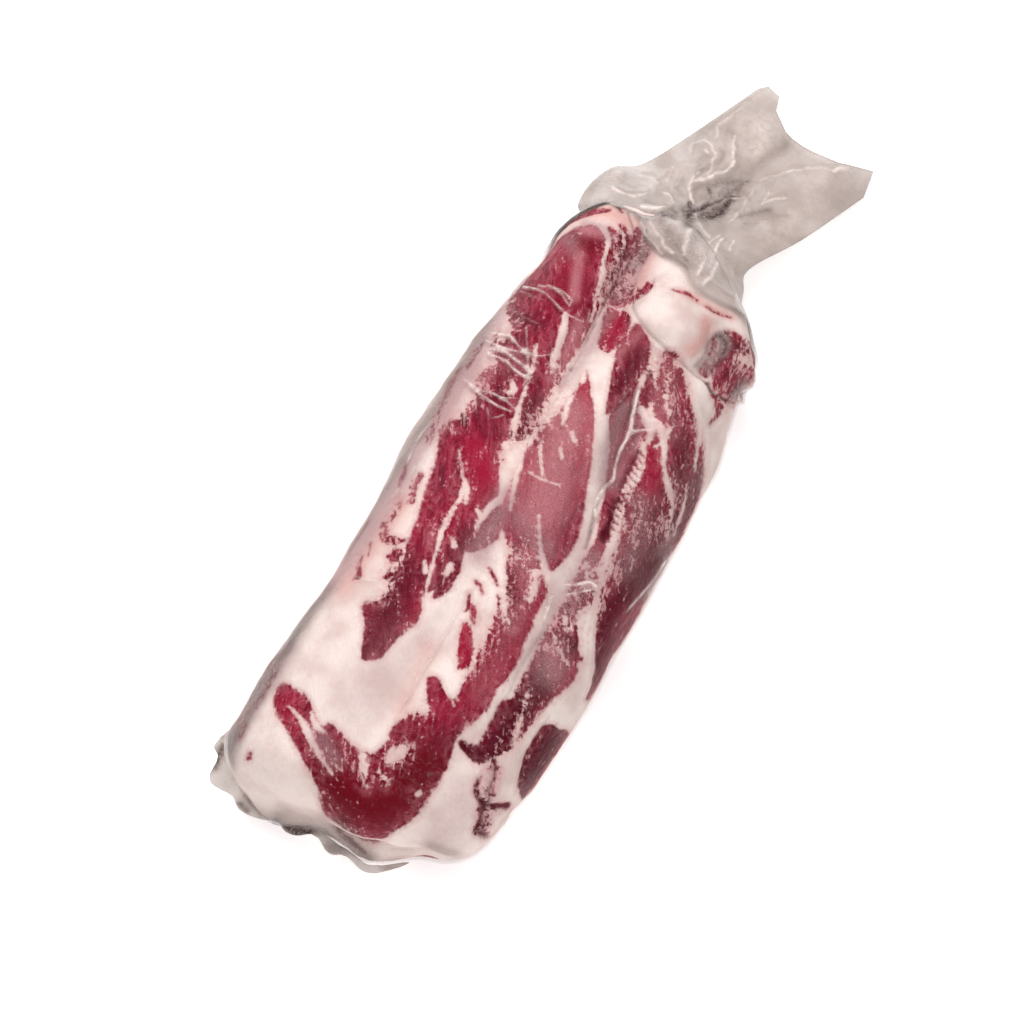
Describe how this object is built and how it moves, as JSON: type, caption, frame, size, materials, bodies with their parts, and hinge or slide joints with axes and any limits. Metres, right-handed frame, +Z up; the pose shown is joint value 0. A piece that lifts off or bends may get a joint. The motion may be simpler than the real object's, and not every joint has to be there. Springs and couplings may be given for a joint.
{
  "type": "raw beef eye of round",
  "caption": "Long raw beef joint of lean and fat, vacuum packed in a clear bag whose flat crumpled end trails from the meat.",
  "frame": {"origin": "on the flat underside, below the middle of the meat", "axes": "+Y along the meat towards the open end of the bag, +X across the meat, +Z up out of the face it rests on"},
  "size_m": [0.1317, 0.4542, 0.0803],
  "materials": {
    "beef": "wet raw meat, red lean with cream fat, under tight glossy film",
    "film": "clear glossy crumpled film"
  },
  "bodies": {
    "root": {"wrapped_beef": "beef", "bag_tail": "film", "bag_seal": "film"}
  },
  "joints": []
}
